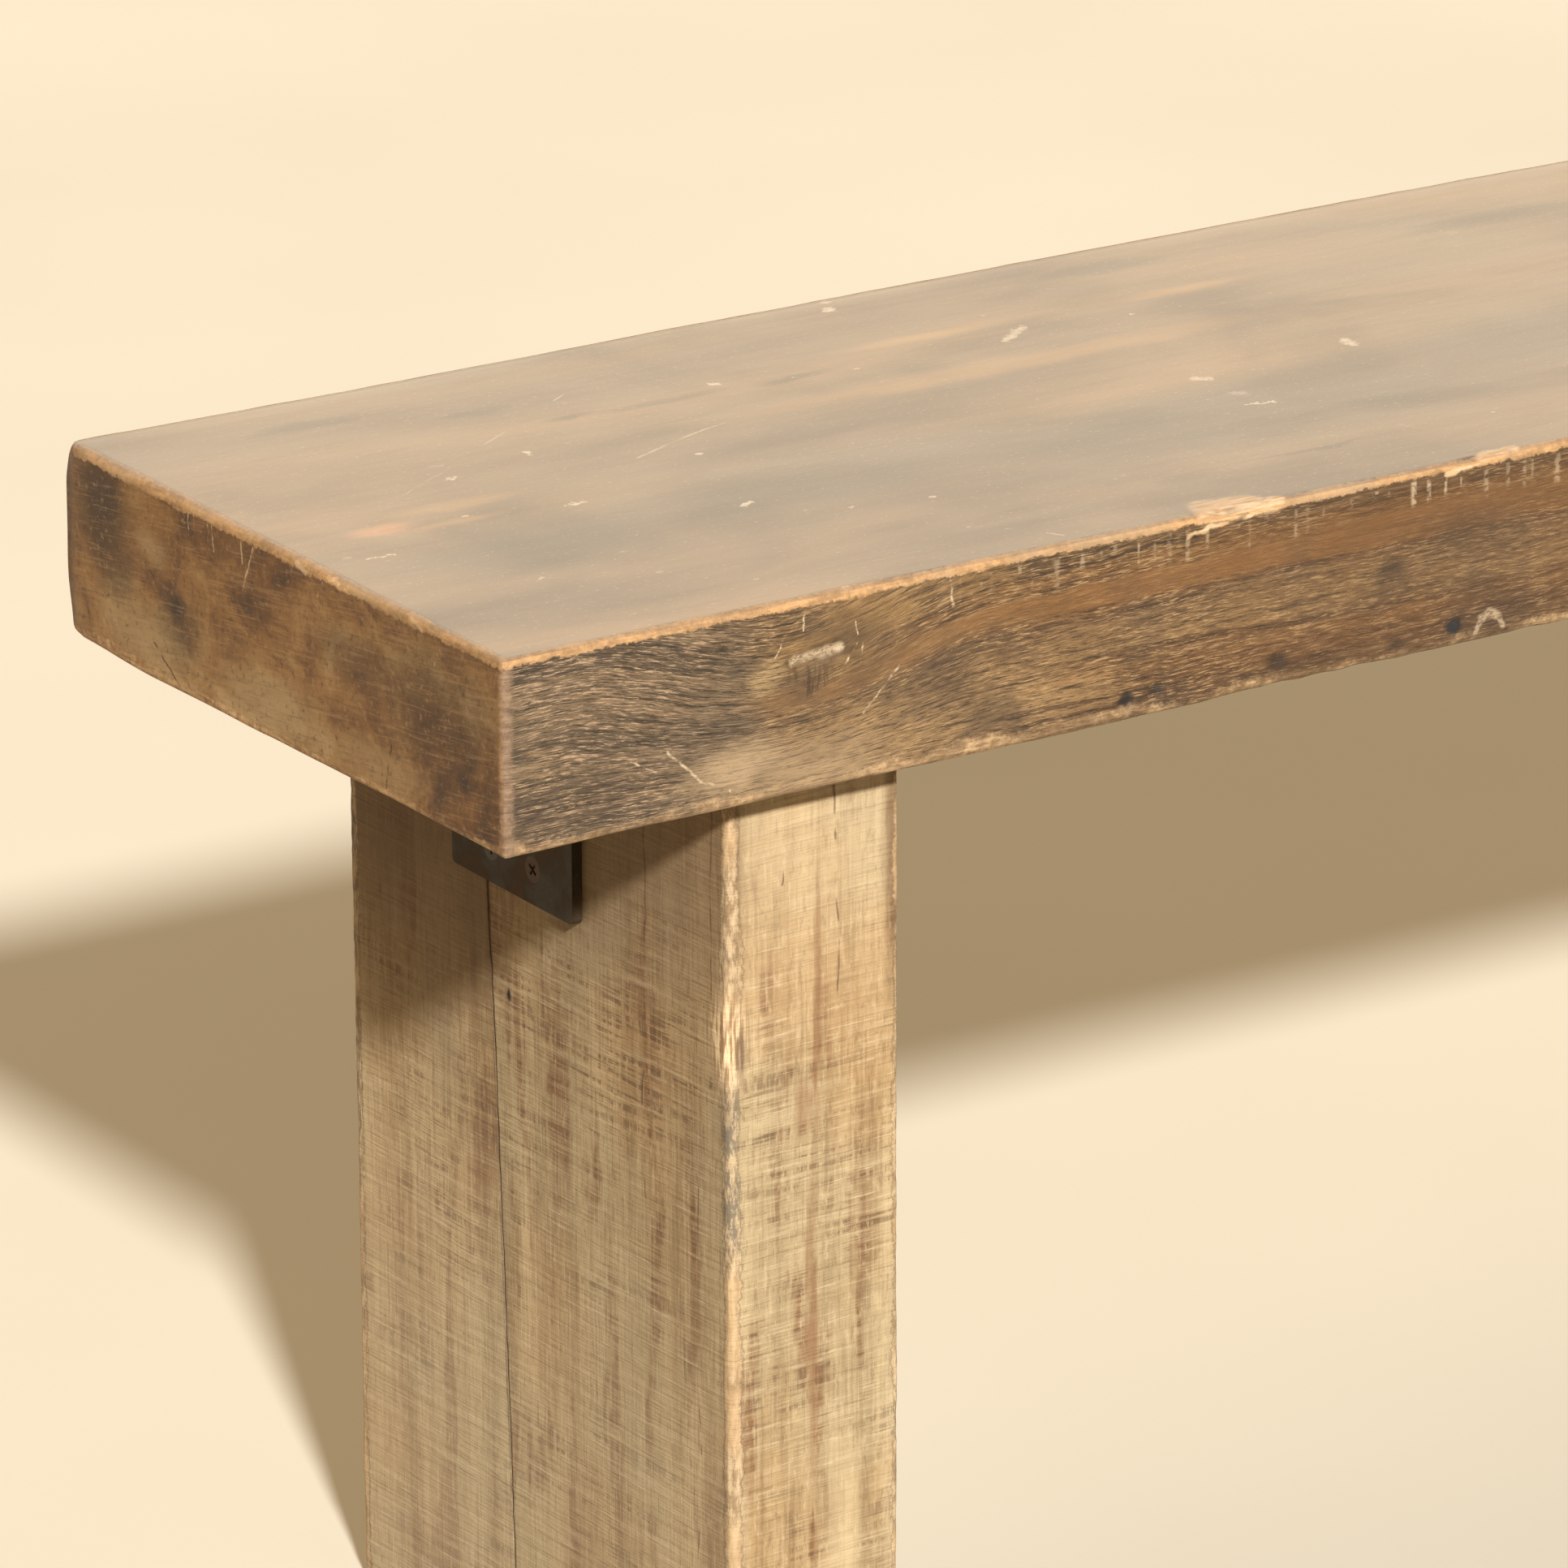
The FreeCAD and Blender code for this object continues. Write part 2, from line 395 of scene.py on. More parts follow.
def edge_band(paint, first, second, width, ragged):
    """1 on the edge where two faces meet, falling to 0 at about width from it."""
    away = paint.math("SQRT", first * first + second * second)
    wander = paint.noise(40, 3, 0.6, seed=2).centred(ragged * width)
    fringe = paint.noise(420, 3, 0.7, seed=4).centred(0.45 * width)
    away = away + wander + fringe
    return away.smooth(0.6 * width, 1.2 * width, 1, 0)


PALE = (0.56, 0.42, 0.27)
FRESH = (0.84, 0.64, 0.4)
DULL = (0.62, 0.38, 0.19)
DARK = (0.03, 0.021, 0.014)


def worn_edges(paint, bands, honey):
    """Bare wood along the seat's edges. bands: widths at the top, upright and lower edges, mm."""
    top, under, side, end = seat_distances(paint)
    wall = paint.math("MINIMUM", side, end)
    top_width, upright_width, lower_width = (width * MM for width in bands)
    upright = edge_band(paint, side, end, upright_width, 0.3)
    lower = edge_band(paint, under, wall, lower_width, 1.2)
    upper = edge_band(paint, top, wall, top_width, 0.45)
    fleck = paint.noise(300, 4, 0.75, seed=6)
    grain = paint.noise((60, 60, 700), 3, 0.6, seed=8)
    patch = paint.noise(24, 2, 0.5, seed=10)
    tone = (fleck * 0.6 + grain * 0.4).smooth(0.36, 0.64)
    deep = tuple(0.55 * channel for channel in honey)
    golden = paint.blend(tone, deep, honey)
    golden = paint.blend(patch.smooth(0.5, 0.66, 0, 0.45), golden, PALE)
    pale = paint.blend(tone, (0.26, 0.155, 0.075), (0.74, 0.53, 0.31))
    pink = paint.blend(tone, (0.205, 0.13, 0.08), (0.42, 0.29, 0.195))
    shown = paint.noise(34, 3, 0.6, seed=16).smooth(0.36, 0.56, 0.25, 1)
    paint.lay(lower * shown * 0.9, pale)
    paint.lay(upright * 0.8, pink)
    # A dark line runs along the lower border of the bare band.
    border = abs(upper - 0.2).smooth(0, 0.2, 0.35, 0)
    paint.lay(border, (0.085, 0.05, 0.028))
    paint.lay(upper.smooth(0.2, 0.8) * 0.9, golden)
    return paint.most([upright, lower, upper]), fleck


def chips(paint, bare, gain=1):
    """Fresh wood where the top edge is splintered, and what is bare with it.

    A gain over 1 makes the fresh wood paler."""
    place = paint.shaken(150, 3 * MM)
    marks = []
    for start, end, width, *strength in (
            ((276, 0, 6.6), (308, 0, 3), 1.7), ((284, 2, 1), (314, 2, 1), 5, 0.9),
            ((288, 8, 0), (304, 6, 0), 8, 0.85), ((386, 0, 3.6), (403, 0, 1.6), 1.7),
            ((402, 2, 0), (416, 4, 0), 4, 0.8), ((1, 100, 3), (1, 112, 2), 1.8),
            ((895, 2, 2), (915, 1, 3), 2.6)):
        mark = paint.stroke(on_seat(*start), on_seat(*end), width * MM, place)
        marks.append(mark.weakened(strength))
    mark = paint.most(marks)
    grain = paint.noise((80, 700, 700), 3, 0.7, seed=9)
    dull, fresh = ([gain * channel for channel in wood] for wood in (DULL, FRESH))
    wood = paint.blend(grain.smooth(0.38, 0.64), dull, fresh)
    paint.lay(mark * grain.smooth(0.25, 0.5, 0.6, 1), wood)
    return paint.most([bare, mark])


def seat_top():
    """Satin varnish over soft lengthwise streaks, brown and grey, with nicks and scratches."""
    paint = Paint("seat_top_varnish")
    broad = paint.noise((3, 15, 10), 2, 0.5, seed=1, twist=1)
    fine = paint.noise((22, 230, 60), 4, 0.65, seed=3)
    cloud = paint.noise((6, 11, 10), 3, 0.55, seed=5, twist=0.6)
    paint.colour = paint.ramp(broad,
        (0.28, (0.245, 0.185, 0.14)), (0.42, (0.315, 0.232, 0.165)),
        (0.54, (0.355, 0.252, 0.167)), (0.66, (0.4, 0.272, 0.165)), (0.8, (0.44, 0.295, 0.165)))
    paint.lay(cloud.smooth(0.44, 0.66, 0, 0.7), (0.21, 0.18, 0.152))
    place = paint.shaken(42, 5 * MM)
    # Greyed zones, dark short streaks and warm streaks, in the order of their colours.
    grey = paint.spots(on_top, 20, place,
        (190, 105, 180, 44), (350, 90, 210, 46), (80, 95, 90, 30), (560, 105, 200, 48))
    paint.lay(grey * 0.72, (0.17, 0.16, 0.142))
    dark = paint.spots(on_top, 20, place,
        (138, 242, 22, 6), (163, 219, 14, 4), (200, 217, 36, 4.5), (254, 214, 22, 4),
        (360, 42, 26, 3), (587, 242, 50, 11), (425, 268, 40, 10), (80, 262, 30, 8))
    paint.lay(dark * 0.6, (0.095, 0.095, 0.09))
    warm = paint.spots(on_top, 20, place,
        (75, 154, 34, 7, 0.8), (66, 138, 26, 5, 0.8), (322, 232, 46, 6), (436, 228, 36, 6),
        (320, 186, 160, 12, 0.8))
    paint.lay(warm * 0.6, (0.62, 0.385, 0.19))
    knot = paint.spot(on_seat(40, 143, 0), (0.017, 0.008, 0.02), paint.shaken(160, 2 * MM))
    paint.lay(knot, (0.66, 0.36, 0.2))
    paint.lay(fine.smooth(0.34, 0.56, 0.1, 0), (0.14, 0.105, 0.08))
    pores = paint.noise((50, 1300, 300), 3, 0.65, seed=7)
    paint.lay(pores.smooth(0.58, 0.72, 0, 0.18), (0.12, 0.085, 0.06))
    dust = paint.noise((400, 700, 500), 4, 0.8, seed=26)
    paint.lay(dust.smooth(0.57, 0.72, 0, 0.55), (0.9, 0.71, 0.55))
    nicks = seat_top_nicks(paint)
    paint.lay(nicks, (1.2, 1.04, 0.8))
    bare, _ = worn_edges(paint, (3.5, 2.4, 4.5), (0.82, 0.51, 0.255))
    bare = chips(paint, bare, 1.35)
    gloss = cloud.smooth(0.3, 0.75, 0.33, 0.42) + fine.smooth(0.3, 0.7, 0.02, 0)
    rough = paint.most([gloss, paint.most([bare, nicks]) * 0.72])
    height = fine * 0.08 + pores * -0.25 + cloud
    return paint.finish(rough, height, 0.13 * MM, (0.371, 0.334, 0.307),
                        Coat_Weight=0.12, Coat_Roughness=0.3, Specular_IOR_Level=0.3)


def seat_top_nicks(paint):
    """Pale nicks and scratches."""
    nicks = paint.strokes(on_top, paint.shaken(520, 3 * MM),
        (18.5, 118.1, 29.7, 117.1, 1), (127.8, 191.5, 127.7, 188.1, 1.8),
        (107, 130.8, 113.8, 131.7, 1.5), (55.2, 65.8, 58, 68.2, 1.5), (90, 179.3, 92, 180, 1.6),
        (226.4, 224.6, 228.3, 223.3, 2.4), (345, 211, 359, 221, 2.6, 0.7),
        (156.4, 97.6, 161.4, 98.7, 1.7), (186, 74.9, 187.5, 74.9, 1.3),
        (312.4, 278.7, 313.5, 279.5, 3.2), (317.3, 288.2, 318.5, 289, 2.6),
        (447, 142, 446.5, 137, 3.4, 0.7), (370.5, 97.7, 381.2, 95.2, 1.5),
        (374, 134, 378, 131, 3, 0.6), (375, 112, 378, 109, 3, 0.3))
    scratches = paint.strokes(on_top, paint.shaken(60, 1.2 * MM),
        (65.8, 171.8, 96.3, 190.9, 0.9), (96.3, 190.9, 179.7, 246.3, 0.5),
        (156.7, 164, 195.5, 179.8, 0.8), (195.5, 179.8, 216.4, 185.8, 0.5),
        (217.2, 25.9, 221.7, 20.7, 0.8), (226.5, 14.2, 229.5, 8.9, 0.8),
        (197.4, 72.3, 198.3, 56.2, 0.5), (640, 60, 760, 130, 0.7), (905, 240, 1010, 190, 0.7),
        (1180, 40, 1260, 120, 0.7))
    small = paint.most([small_nicks(paint, 24, 0.055), small_nicks(paint, 70, 0.1)])
    broken = paint.noise(600, 3, 0.7, seed=24).smooth(0.34, 0.52, 0.35, 1)
    return paint.most([nicks * 0.8, scratches * 0.4, small * 0.85]) * broken


def small_nicks(paint, per_metre, largest):
    """Small marks all over, one at most in each cell, most cells with none."""
    per_metre = (0.7 * per_metre, per_metre, per_metre)
    cells = paint.texture("ShaderNodeTexVoronoi", paint.shaken(500, 0.8 * MM), per_metre)
    lot = paint.parts("ShaderNodeSeparateColor", Value(paint, cells["Color"]))
    size = lot[0].smooth(0.35, 1, 0, largest)
    inside = (Value(paint, cells["Distance"]) - size).smooth(-0.012, 0, 1, 0)
    return inside * lot[1].smooth(0.1, 0.9, 0.1, 0.95)


def seat_side():
    """The long sides: brown figure that swirls below a knot, with dark and pale fine lines."""
    paint = Paint("seat_side_figure")
    down = SEAT_HIGH.z - paint.z
    from_end = paint.x - SEAT_LOW.x
    front = paint.y.smooth(SEAT_LOW.y + 20 * MM, SEAT_LOW.y + 40 * MM, 1, 0)
    # The grain sags below the knot and comes back up to its right.
    sag = from_end.bell(110 * MM, 88 * MM)
    sag = sag * down.smooth(26 * MM, 68 * MM, 1, 0.15) * front * (17 * MM)
    drift = paint.noise((3.4, 6, 16), 3, 0.5, seed=11).centred(6 * MM)
    wiggle = paint.noise((70, 10, 90), 2, 0.5, seed=17).centred(0.9 * MM)
    level = down - sag + drift + wiggle + from_end * 0.012
    flow = paint.join(paint.x, paint.y, level)
    broad = paint.noise((3.5, 10, 90), 4, 0.62, place=flow, seed=12)
    streaks = paint.noise((20, 20, 560), 4, 0.65, place=flow, seed=13)
    strokes = paint.noise((180, 60, 2400), 3, 0.7, place=flow, seed=14)
    cloud = paint.noise((18, 18, 26), 3, 0.6, seed=15)
    share = level / (SEAT_HIGH.z - SEAT_LOW.z) + broad.centred(0.15)
    banded = paint.ramp(share,
        (0.02, (0.19, 0.12, 0.06)), (0.12, (0.14, 0.085, 0.042)), (0.22, (0.19, 0.1, 0.04)),
        (0.3, (0.26, 0.132, 0.047)), (0.38, (0.235, 0.12, 0.046)), (0.44, (0.14, 0.08, 0.04)),
        (0.52, (0.215, 0.13, 0.062)), (0.64, (0.265, 0.163, 0.076)),
        (0.72, (0.165, 0.092, 0.043)), (0.8, (0.225, 0.118, 0.048)), (0.9, (0.115, 0.062, 0.031)),
        (1, (0.235, 0.15, 0.075)))
    muted = from_end.smooth(130 * MM, 240 * MM, 0.45, 0)
    banded = paint.blend(muted, banded, (0.245, 0.158, 0.078))
    deeper = from_end.smooth(250 * MM, 360 * MM, 0, 0.38)
    banded = paint.blend(deeper, banded, (0.12, 0.064, 0.03))
    greyed = paint.ramp(broad,
        (0.28, (0.045, 0.036, 0.028)), (0.44, (0.11, 0.084, 0.058)), (0.57, (0.2, 0.146, 0.092)),
        (0.72, (0.31, 0.222, 0.135)))
    near_end = (from_end + cloud.centred(60 * MM)).smooth(65 * MM, 120 * MM, 0.92, 0)
    paint.colour = paint.blend(near_end, banded, greyed)
    # Olive and golden wood round the knot, and a sandy worn patch below it.
    place = paint.shaken(60, 5 * MM)
    golden = paint.spots(on_side, 50, place,
        (128, 20, 34, 14, 0.85), (145, 10, 34, 12, 0.9), (185, 8, 30, 7, 0.5))
    paint.lay(golden * front, (0.325, 0.195, 0.078))
    pale_knot = paint.spot(on_seat(104, 0, 27), (0.01, 0.05, 0.008), place)
    paint.lay(pale_knot * front * 0.8, (0.42, 0.3, 0.155))
    sandy = paint.spots(on_side, 50, place,
        (95, 56, 34, 13), (125, 58, 36, 12, 0.8), (115, 64, 60, 10, 0.7))
    paint.lay(sandy * front * 0.9, (0.5, 0.37, 0.228))
    tan = paint.spot(on_seat(185, 0, 54), (0.09, 0.05, 0.014), place)
    paint.lay(tan * front * 0.6, (0.42, 0.28, 0.14))
    # Dark and pale fine lines along the flow, faint in the smooth orange band.
    smooth_band = share.bell(0.32, 0.11) * (1 - near_end)
    strength = smooth_band.smooth(0.1, 0.8, 1, 0.38)
    calm = paint.most([sandy, golden]) * front
    strength = (strength * calm.smooth(0.2, 0.9, 1, 0.6)
                * from_end.smooth(240 * MM, 350 * MM, 1, 0.62))
    paint.lay(streaks.smooth(0.5, 0.64) * strength * 0.66, DARK)
    paint.lay(streaks.smooth(0.46, 0.36) * strength * 0.35, (0.4, 0.255, 0.125))
    patchy = cloud.smooth(0.35, 0.55, 0.35, 1)
    fresh = strokes.smooth(0.545, 0.615) * strength * (patchy * 0.9)
    fresh_wood = paint.blend(near_end, (0.52, 0.35, 0.18), (0.6, 0.43, 0.285))
    paint.lay(fresh, fresh_wood)
    paint.lay(strokes.smooth(0.45, 0.38) * strength * 0.75, DARK)
    blotch = cloud.smooth(0.48, 0.68) * from_end.smooth(190 * MM, 300 * MM, 0.58, 0.42)
    paint.lay(blotch, (0.07, 0.046, 0.028))
    # The upright short grain inside the knot.
    ring = paint.noise((560, 60, 70), 2, 0.6, place=paint.shaken(90, 3 * MM), seed=18)
    in_knot = paint.spot(on_seat(120, 0, 30), (0.014, 0.05, 0.008), place) * front
    paint.lay(ring.smooth(0.5, 0.6) * in_knot * 0.8, (0.075, 0.045, 0.022))
    seat_side_stains(paint)
    ticks = seat_side_ticks(paint, down, from_end, cloud)
    pale_marks = paint.most([ticks * 0.62, seat_side_marks(paint, front)])
    # Painted shade along the gouge's edges: a dark stroke a little wider than the gouge, so that
    # a dark outline stays round its pale marks.
    rim = paint.stroke(on_seat(113, 0, 22.4), on_seat(133, 0, 20.4), 4.6 * MM, place)
    paint.lay(rim * front * 0.55, (0.08, 0.05, 0.028))
    paint.lay(pale_marks, (0.74, 0.6, 0.42))
    bare, fleck = worn_edges(paint, (3.9, 4.8, 5.6), (0.76, 0.465, 0.225))
    bare = chips(paint, bare)
    rough = cloud.smooth(0.3, 0.7, 0.5, 0.62) + bare * 0.15
    height = streaks * -1 + strokes * 0.6 + cloud + fleck * 0.3
    return paint.finish(rough, height, 0.34 * MM, (0.55, 0.477, 0.388), Specular_IOR_Level=0.25)


def seat_side_stains(paint):
    """Rust-black stains round the old nails and where nails have been."""
    place = paint.shaken(220, 2.4 * MM)
    stains = [
        paint.spots(on_side, 6, place,
            (250, 61, 5.5, 4.2), (263, 60, 5, 3, 0.8), (314, 59, 6, 5, 0.7),
            (362, 35, 9, 7, 0.55), (71, 50, 6, 5, 0.3), (366, 63, 7, 3, 0.5)),
        paint.spots(on_side, 5.2, place, (390, 60.4, 5.2, 5.2)),
        paint.spots(on_side, 6, place, (1128, 23, 6, 6), (1263, 48, 6, 6)),
    ]
    paint.lay(paint.most(stains) * 0.95, (0.022, 0.02, 0.018))


def seat_side_ticks(paint, down, from_end, cloud):
    """Groups of short pale chatter marks under the top edge, each of its own length."""
    pitch = 8.2 * MM
    wander = paint.noise((55, 5, 6), 2, 0.6, seed=21).centred(5 * MM)
    spot = (paint.x + wander) / pitch
    lot = paint.node("ShaderNodeTexWhiteNoise", noise_dimensions="1D")
    paint.put(paint.math("FLOOR", spot), lot.inputs["W"])
    lots = paint.parts("ShaderNodeSeparateColor", Value(paint, lot.outputs["Color"]))
    centre = lots[0].smooth(0, 1, 0.2, 0.8)
    half = lots[1].smooth(0, 1, 0.02, 0.12)
    off = abs(paint.math("FRACT", spot) - centre)
    line = (off - half).smooth(-0.06, 0.09, 1, 0)
    first = lots[1].smooth(0, 1, 5.5 * MM, 3.5 * MM)
    last = lots[2].smooth(0, 1, 8.5 * MM, 17 * MM)
    band = (down - first).smooth(0, 1.2 * MM) * (down - last).smooth(-3 * MM, 0, 1, 0)
    worn = paint.noise((300, 5, 400), 3, 0.7, seed=22)
    shown = (worn.smooth(0.38, 0.56) * lots[0].smooth(0.05, 0.5, 0.35, 1)
             * cloud.smooth(0.4, 0.54, 1, 0.45))
    return line * band * shown * from_end.smooth(165 * MM, 215 * MM)


def seat_side_marks(paint, front):
    """The gouge, the scratches and the hooked scar on the front."""
    fine = paint.shaken(260, 0.9 * MM)
    speckle = paint.noise((500, 500, 900), 3, 0.7, seed=23).smooth(0.38, 0.53, 0.3, 1)
    gouge = paint.stroke(on_seat(114.5, 0, 22), on_seat(132, 0, 20.4), 3.2 * MM, fine)
    core = paint.stroke(on_seat(115, 0, 21.4), on_seat(124, 0, 20.6), 0.8 * MM, fine)
    gouge = gouge * (1 - core * 0.6)
    hook = paint.strokes(on_side, fine,
        (399, 67, 402, 60, 1.9), (402, 60, 405.5, 58, 2.2), (405.5, 58, 410, 60, 2.2),
        (410, 60, 412, 64, 1.8))
    scratches = paint.strokes(on_side, fine,
        (142, 45.2, 150, 38, 0.7), (150, 38, 156.5, 31.2, 0.9), (64, 44.2, 77.6, 57.1, 0.9),
        (77.6, 57.1, 88.8, 62.4, 0.7), (49.7, 44.8, 59.8, 50.5, 0.7), (39.6, 45.2, 49, 49, 0.45),
        (129, 28.5, 135, 26, 0.6), (135, 26, 139.8, 20, 0.7), (140.8, 27, 143, 17, 0.55),
        (106.8, 19.3, 109.4, 15, 0.6), (177.5, 5, 178.5, 14, 0.9), (118.5, 6, 118.2, 12, 0.5),
        (138, 7, 140, 17, 0.5), (700, 20, 726, 34, 0.7), (1010, 50, 1050, 42, 0.7))
    return paint.most([gouge * 0.9, hook * 0.5, scratches * 0.95]) * speckle * front


def seat_end():
    """The ends: smooth end grain, mottled brown, olive and tan, under old varnish."""
    paint = Paint("seat_end_grain")
    mottle = paint.noise((26, 26, 38), 5, 0.68, seed=31, twist=0.5)
    cloud = paint.noise((9, 9, 20), 2, 0.5, seed=32)
    speck = paint.noise(380, 4, 0.75, seed=33)
    lean = paint.z + paint.y * 0.12
    slant = paint.noise((10, 45, 900), 3, 0.65, place=paint.join(paint.x, paint.y, lean),
                        seed=34)
    mixed = mottle * 0.62 + cloud * 0.38
    paint.colour = paint.ramp(mixed,
        (0.36, (0.062, 0.032, 0.016)), (0.44, (0.175, 0.086, 0.033)), (0.5, (0.28, 0.152, 0.058)),
        (0.56, (0.35, 0.215, 0.092)), (0.64, (0.48, 0.345, 0.19)))
    place = paint.shaken(70, 5 * MM)
    dark = paint.most([
        paint.spots(on_end, 30, place,
            (216, 40, 12, 10, 0.95), (215, 48, 22, 20, 0.6), (268, 20, 30, 30, 0.75),
            (258, 38, 22, 18, 0.6), (40, 30, 60, 34, 0.55), (95, 26, 40, 14, 0.45)),
        paint.spots(on_end, 30, place,
            (190, 30, 30, 20, 0.7), (60, 48, 22, 16, 0.7), at=SEAT_LENGTH),
    ])
    paint.lay(dark, (0.05, 0.031, 0.02))
    olive = paint.spots(on_end, 30, place,
        (240, 56, 40, 16, 0.6), (232, 24, 16, 8, 0.6), (150, 58, 50, 13, 0.5),
        (78, 60, 40, 12, 0.4))
    paint.lay(olive, (0.4, 0.3, 0.165))
    paint.lay(speck.smooth(0.55, 0.68, 0, 0.45), (0.44, 0.31, 0.18))
    paint.lay(speck.smooth(0.45, 0.32, 0, 0.6), (0.055, 0.034, 0.02))
    paint.lay(slant.smooth(0.53, 0.66, 0, 0.28), (0.46, 0.31, 0.17))
    paint.lay(slant.smooth(0.45, 0.33, 0, 0.28), (0.085, 0.052, 0.028))
    fine = paint.shaken(300, 0.9 * MM)
    scratches = paint.most([
        paint.strokes(on_end, fine,
            (162, 5, 169.4, 22, 0.8), (170, 5, 169, 12, 0.8), (190, 5, 189, 13, 0.8),
            (193, 5, 193, 11, 0.6), (206, 4, 206, 12, 0.6), (115, 4, 128, 23, 0.5),
            (36, 5, 52.7, 25, 0.6), (133, 2, 127, 4, 1.8), (59, 1, 51, 4, 1.6)),
        paint.strokes(on_end, fine,
            (120, 12, 90, 40, 0.7), at=SEAT_LENGTH),
    ])
    cracks = paint.most([
        paint.strokes(on_end, fine,
            (232, 58, 214, 70, 0.7), (72, 50, 76, 66, 0.8)),
        paint.strokes(on_end, fine,
            (226, 44, 214, 70, 0.8), at=SEAT_LENGTH),
    ])
    paint.lay(cracks * 0.85, (0.045, 0.028, 0.018))
    bare, _ = worn_edges(paint, (4.4, 3.6, 3), (0.61, 0.395, 0.205))
    paint.lay(scratches * 0.6, (0.72, 0.58, 0.4))
    bare = chips(paint, bare)
    rough = mottle.smooth(0.3, 0.7, 0.44, 0.58) + bare * 0.2
    height = mottle * 1.6 + speck * 0.5 + slant * -0.4
    return paint.finish(rough, height, 0.3 * MM, (0.58, 0.48, 0.36), Specular_IOR_Level=0.2)


def seat_underside():
    """Unvarnished and darkened, with saw marks across."""
    paint = Paint("seat_underside")
    broad = paint.noise((3, 40, 10), 4, 0.6, seed=41)
    saw = paint.noise((330, 9, 10), 3, 0.65, seed=42)
    fibre = paint.noise((30, 900, 100), 3, 0.65, seed=43)
    paint.colour = paint.ramp(broad,
        (0.3, (0.13, 0.085, 0.05)), (0.5, (0.22, 0.15, 0.085)), (0.7, (0.33, 0.235, 0.135)))
    paint.lay(saw.smooth(0.5, 0.62, 0, 0.5), (0.08, 0.055, 0.035))
    paint.lay(fibre.smooth(0.53, 0.66, 0, 0.45), (0.42, 0.32, 0.2))
    _, fleck = worn_edges(paint, (4, 3, 3), (0.5, 0.32, 0.16))
    height = saw * -1 + fibre * 0.5 + fleck * 0.3
    return paint.finish(0.8, height, 0.5 * MM, (0.75, 0.72, 0.68), Specular_IOR_Level=0.25)


